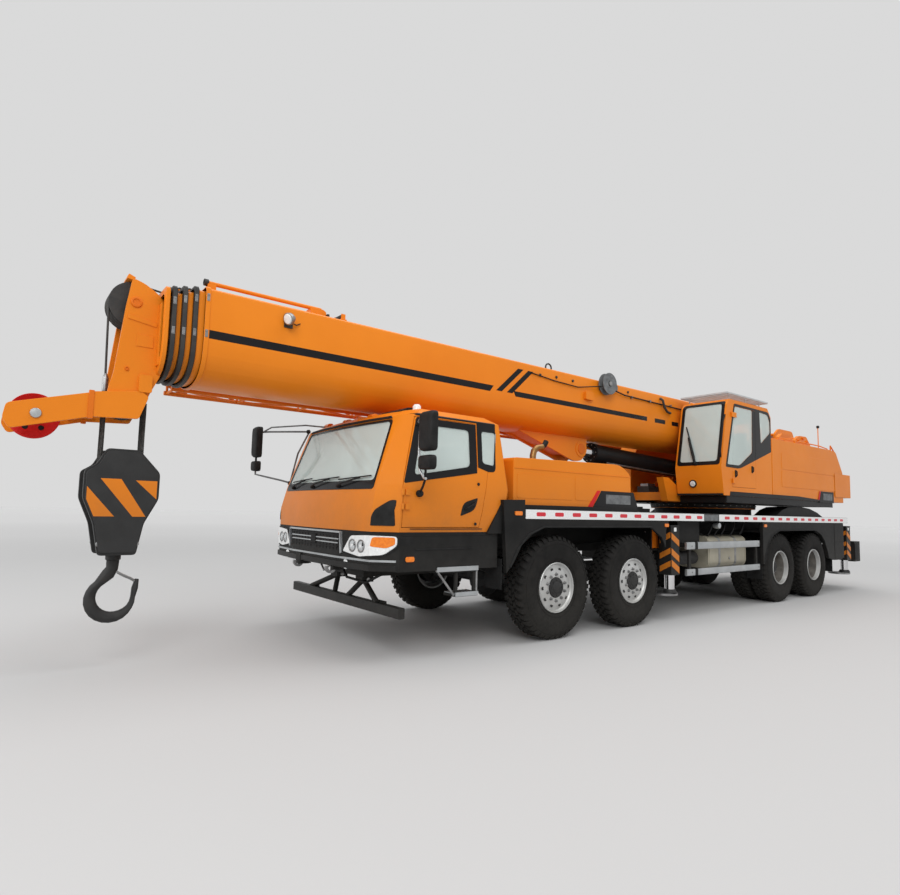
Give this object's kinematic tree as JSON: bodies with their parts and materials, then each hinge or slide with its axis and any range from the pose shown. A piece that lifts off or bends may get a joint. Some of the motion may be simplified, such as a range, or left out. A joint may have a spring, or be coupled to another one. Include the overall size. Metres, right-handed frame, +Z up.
{
  "type": "truck-mounted mobile crane",
  "caption": "Truck-mounted mobile crane in travel position: telescopic boom over a wide carrier cab, slewing operator's cab, stowed lattice jib, hook block and sliding outriggers.",
  "frame": {"origin": "on the ground under the middle of the bounding box", "axes": "+X towards the carrier cab's front, +Y to the crane's left, +Z up"},
  "size_m": [14.81, 3.6, 3.642],
  "materials": {
    "orange_paint": "gloss",
    "black_paint": "satin",
    "outrigger_paint": "satin",
    "dark_iron": "satin",
    "bright_rod": "polished",
    "silver_rail": "satin",
    "tank_paint": "satin",
    "red_nylon": "gloss",
    "glass": "gloss",
    "trim": "matte",
    "tyre": "matte",
    "rope": "satin"
  },
  "bodies": {
    "carrier": {"carrier_frame": "black_paint", "deck": "black_paint", "engine": "dark_iron", "engine_cover": "orange_paint", "cab_shell": "orange_paint", "windscreen": "glass", "cab_interior": "trim", "front_fascia": "black_paint", "underrun_bar": "black_paint", "fuel_tank": "tank_paint", "tool_box": "black_paint", "side_guard_left": "silver_rail", "side_guard_right": "silver_rail", "front_axles": "dark_iron", "rear_axles": "dark_iron", "mirror_right": "black_paint"},
    "cab_door_left": {"cab_door_left": "orange_paint", "mirror_left": "black_paint"},
    "cab_door_right": {"cab_door_right": "orange_paint"},
    "superstructure": {"turntable": "orange_paint", "opcab_shell": "orange_paint", "opcab_windscreen": "glass", "opcab_seat": "trim", "superstructure_housing": "orange_paint", "counterweight": "orange_paint", "winches": "orange_paint"},
    "opcab_door": {"opcab_door": "orange_paint"},
    "boom_base": {"boom_base": "orange_paint", "jib": "orange_paint"},
    "boom_section_2": {"boom_section_2": "orange_paint"},
    "boom_section_3": {"boom_section_3": "orange_paint"},
    "boom_section_4": {"boom_section_4": "orange_paint"},
    "boom_section_5": {"boom_section_5": "orange_paint", "nose": "orange_paint"},
    "nose_sheave": {"nose_sheave": "red_nylon"},
    "luff_barrel": {"luff_barrel": "black_paint"},
    "luff_rod": {"luff_rod": "bright_rod"},
    "hook_block": {"hook_block": "black_paint", "hoist_rope": "rope"},
    "hook": {"hook": "dark_iron"},
    "knuckle_1_left": {"knuckle_1_left": "dark_iron"},
    "wheel_1_left": {"wheel_1_left": "tyre"},
    "knuckle_2_left": {"knuckle_2_left": "dark_iron"},
    "wheel_2_left": {"wheel_2_left": "tyre"},
    "wheel_3_left": {"wheel_3_left": "tyre"},
    "wheel_4_left": {"wheel_4_left": "tyre"},
    "outrigger_beam_front_left": {"outrigger_beam_front_left": "outrigger_paint"},
    "outrigger_jack_front_left": {"outrigger_jack_front_left": "bright_rod"},
    "outrigger_beam_rear_left": {"outrigger_beam_rear_left": "outrigger_paint"},
    "outrigger_jack_rear_left": {"outrigger_jack_rear_left": "bright_rod"},
    "knuckle_1_right": {"knuckle_1_right": "dark_iron"},
    "wheel_1_right": {"wheel_1_right": "tyre"},
    "knuckle_2_right": {"knuckle_2_right": "dark_iron"},
    "wheel_2_right": {"wheel_2_right": "tyre"},
    "wheel_3_right": {"wheel_3_right": "tyre"},
    "wheel_4_right": {"wheel_4_right": "tyre"},
    "outrigger_beam_front_right": {"outrigger_beam_front_right": "outrigger_paint"},
    "outrigger_jack_front_right": {"outrigger_jack_front_right": "bright_rod"},
    "outrigger_beam_rear_right": {"outrigger_beam_rear_right": "outrigger_paint"},
    "outrigger_jack_rear_right": {"outrigger_jack_rear_right": "bright_rod"}
  },
  "joints": [
    {"name": "slewing", "type": "hinge", "parent": "carrier", "child": "superstructure", "pos_m": [-3.455, 0, 1.6], "axis": [0, 0, 1], "continuous": true},
    {"name": "boom_luff", "type": "hinge", "parent": "superstructure", "child": "boom_base", "pos_m": [-4.855, 0, 2.95], "axis": [0, -1, 0], "range_deg": [0, 78]},
    {"name": "luff_barrel_tilt", "type": "hinge", "parent": "superstructure", "child": "luff_barrel", "pos_m": [-2.955, 0, 2.3], "axis": [0, -1, 0], "range_deg": [0, 91.3]},
    {"name": "luff_rod_stroke", "type": "slide", "parent": "luff_barrel", "child": "luff_rod", "axis": [0.9989, 0, 0.0461], "range_m": [0, 2.35]},
    {"name": "boom_section_2_out", "type": "slide", "parent": "boom_base", "child": "boom_section_2", "axis": [1, 0, 0], "range_m": [0, 8]},
    {"name": "boom_section_3_out", "type": "slide", "parent": "boom_section_2", "child": "boom_section_3", "axis": [1, 0, 0], "range_m": [0, 8]},
    {"name": "boom_section_4_out", "type": "slide", "parent": "boom_section_3", "child": "boom_section_4", "axis": [1, 0, 0], "range_m": [0, 8]},
    {"name": "boom_section_5_out", "type": "slide", "parent": "boom_section_4", "child": "boom_section_5", "axis": [1, 0, 0], "range_m": [0, 8]},
    {"name": "nose_sheave_turn", "type": "hinge", "parent": "boom_section_5", "child": "nose_sheave", "pos_m": [7.185, 0, 2.18], "axis": [0, 1, 0], "continuous": true},
    {"name": "hook_block_hang", "type": "hinge", "parent": "boom_section_5", "child": "hook_block", "pos_m": [6.515, 0, 2.38], "axis": [0, -1, 0], "range_deg": [-78, 0]},
    {"name": "hook_swivel", "type": "hinge", "parent": "hook_block", "child": "hook", "pos_m": [6.515, 0, 1], "axis": [0, 0, 1], "continuous": true},
    {"name": "cab_door_left_open", "type": "hinge", "parent": "carrier", "child": "cab_door_left", "pos_m": [4.303, 1.3453, 1.24], "axis": [0, 0, -1], "range_deg": [0, 70]},
    {"name": "cab_door_right_open", "type": "hinge", "parent": "carrier", "child": "cab_door_right", "pos_m": [4.303, -1.3453, 1.24], "axis": [0, 0, 1], "range_deg": [0, 70]},
    {"name": "opcab_door_open", "type": "hinge", "parent": "superstructure", "child": "opcab_door", "pos_m": [-1.985, 1.3753, 1.94], "axis": [0, 0, -1], "range_deg": [0, 75]},
    {"name": "steer_1_left", "type": "hinge", "parent": "carrier", "child": "knuckle_1_left", "pos_m": [2.145, 0.98, 0.59487], "axis": [0, 0, 1], "range_deg": [-30, 30]},
    {"name": "wheel_1_left_roll", "type": "hinge", "parent": "knuckle_1_left", "child": "wheel_1_left", "pos_m": [2.145, 1.22, 0.59487], "axis": [0, 1, 0], "continuous": true},
    {"name": "steer_2_left", "type": "hinge", "parent": "carrier", "child": "knuckle_2_left", "pos_m": [0.665, 0.98, 0.59487], "axis": [0, 0, 1], "range_deg": [-23.1, 23.1]},
    {"name": "wheel_2_left_roll", "type": "hinge", "parent": "knuckle_2_left", "child": "wheel_2_left", "pos_m": [0.665, 1.22, 0.59487], "axis": [0, 1, 0], "continuous": true},
    {"name": "wheel_3_left_roll", "type": "hinge", "parent": "carrier", "child": "wheel_3_left", "pos_m": [-3.625, 1.045, 0.59487], "axis": [0, 1, 0], "continuous": true},
    {"name": "wheel_4_left_roll", "type": "hinge", "parent": "carrier", "child": "wheel_4_left", "pos_m": [-5.025, 1.045, 0.59487], "axis": [0, 1, 0], "continuous": true},
    {"name": "outrigger_beam_front_left_out", "type": "slide", "parent": "carrier", "child": "outrigger_beam_front_left", "axis": [0, 1, 0], "range_m": [0, 1.9]},
    {"name": "outrigger_jack_front_left_down", "type": "slide", "parent": "outrigger_beam_front_left", "child": "outrigger_jack_front_left", "axis": [0, 0, -1], "range_m": [0, 0.5]},
    {"name": "outrigger_beam_rear_left_out", "type": "slide", "parent": "carrier", "child": "outrigger_beam_rear_left", "axis": [0, 1, 0], "range_m": [0, 1.9]},
    {"name": "outrigger_jack_rear_left_down", "type": "slide", "parent": "outrigger_beam_rear_left", "child": "outrigger_jack_rear_left", "axis": [0, 0, -1], "range_m": [0, 0.5]},
    {"name": "steer_1_right", "type": "hinge", "parent": "carrier", "child": "knuckle_1_right", "pos_m": [2.145, -0.98, 0.59487], "axis": [0, 0, 1], "range_deg": [-30, 30]},
    {"name": "wheel_1_right_roll", "type": "hinge", "parent": "knuckle_1_right", "child": "wheel_1_right", "pos_m": [2.145, -1.22, 0.59487], "axis": [0, 1, 0], "continuous": true},
    {"name": "steer_2_right", "type": "hinge", "parent": "carrier", "child": "knuckle_2_right", "pos_m": [0.665, -0.98, 0.59487], "axis": [0, 0, 1], "range_deg": [-23.1, 23.1]},
    {"name": "wheel_2_right_roll", "type": "hinge", "parent": "knuckle_2_right", "child": "wheel_2_right", "pos_m": [0.665, -1.22, 0.59487], "axis": [0, 1, 0], "continuous": true},
    {"name": "wheel_3_right_roll", "type": "hinge", "parent": "carrier", "child": "wheel_3_right", "pos_m": [-3.625, -1.045, 0.59487], "axis": [0, 1, 0], "continuous": true},
    {"name": "wheel_4_right_roll", "type": "hinge", "parent": "carrier", "child": "wheel_4_right", "pos_m": [-5.025, -1.045, 0.59487], "axis": [0, 1, 0], "continuous": true},
    {"name": "outrigger_beam_front_right_out", "type": "slide", "parent": "carrier", "child": "outrigger_beam_front_right", "axis": [0, -1, 0], "range_m": [0, 1.9]},
    {"name": "outrigger_jack_front_right_down", "type": "slide", "parent": "outrigger_beam_front_right", "child": "outrigger_jack_front_right", "axis": [0, 0, -1], "range_m": [0, 0.5]},
    {"name": "outrigger_beam_rear_right_out", "type": "slide", "parent": "carrier", "child": "outrigger_beam_rear_right", "axis": [0, -1, 0], "range_m": [0, 1.9]},
    {"name": "outrigger_jack_rear_right_down", "type": "slide", "parent": "outrigger_beam_rear_right", "child": "outrigger_jack_rear_right", "axis": [0, 0, -1], "range_m": [0, 0.5]}
  ],
  "couplings": [
    {"joint": "luff_barrel_tilt", "follows": "boom_luff", "ratio": 1.1647},
    {"joint": "luff_rod_stroke", "follows": "boom_luff", "m_per_rad": 1.7192},
    {"joint": "hook_block_hang", "follows": "boom_luff", "ratio": -1},
    {"joint": "boom_section_3_out", "follows": "boom_section_2_out", "ratio": 1},
    {"joint": "boom_section_4_out", "follows": "boom_section_2_out", "ratio": 1},
    {"joint": "boom_section_5_out", "follows": "boom_section_2_out", "ratio": 1},
    {"joint": "steer_2_left", "follows": "steer_1_left", "ratio": 0.77},
    {"joint": "steer_1_right", "follows": "steer_1_left", "ratio": 1},
    {"joint": "steer_2_right", "follows": "steer_1_left", "ratio": 0.77}
  ]
}
